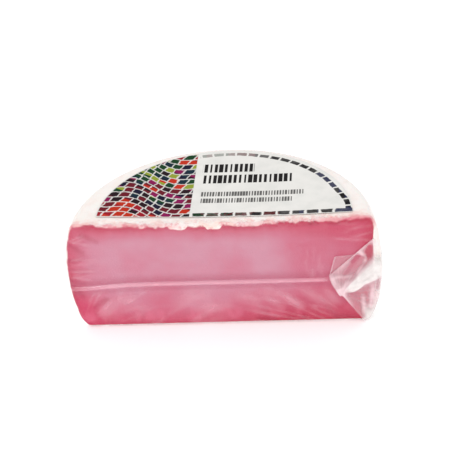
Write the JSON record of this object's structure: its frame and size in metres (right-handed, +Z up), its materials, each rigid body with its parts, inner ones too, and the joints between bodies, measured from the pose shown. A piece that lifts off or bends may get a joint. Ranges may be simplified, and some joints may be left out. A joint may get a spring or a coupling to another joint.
{
  "type": "goat cheese",
  "caption": "Half wheel of pink-pasted goat cheese with a pale rind, sealed in tight clear film, with a half-round paper label on top.",
  "frame": {"origin": "in the flat base, on the wheel's middle line, midway between the film's front and the round back", "axes": "+X along the cut face to its right end, where the folded film ear is; +Y from the cut face to the round back; +Z up"},
  "size_m": [0.2001, 0.1039, 0.0785],
  "materials": {
    "wrapped_cheese": "clear glossy film over pink paste and pale rind",
    "label_paper": "off-white satin paper with printed colour tiles"
  },
  "bodies": {
    "root": {"wrapped_half_wheel": "wrapped_cheese", "label": "label_paper"}
  },
  "joints": []
}
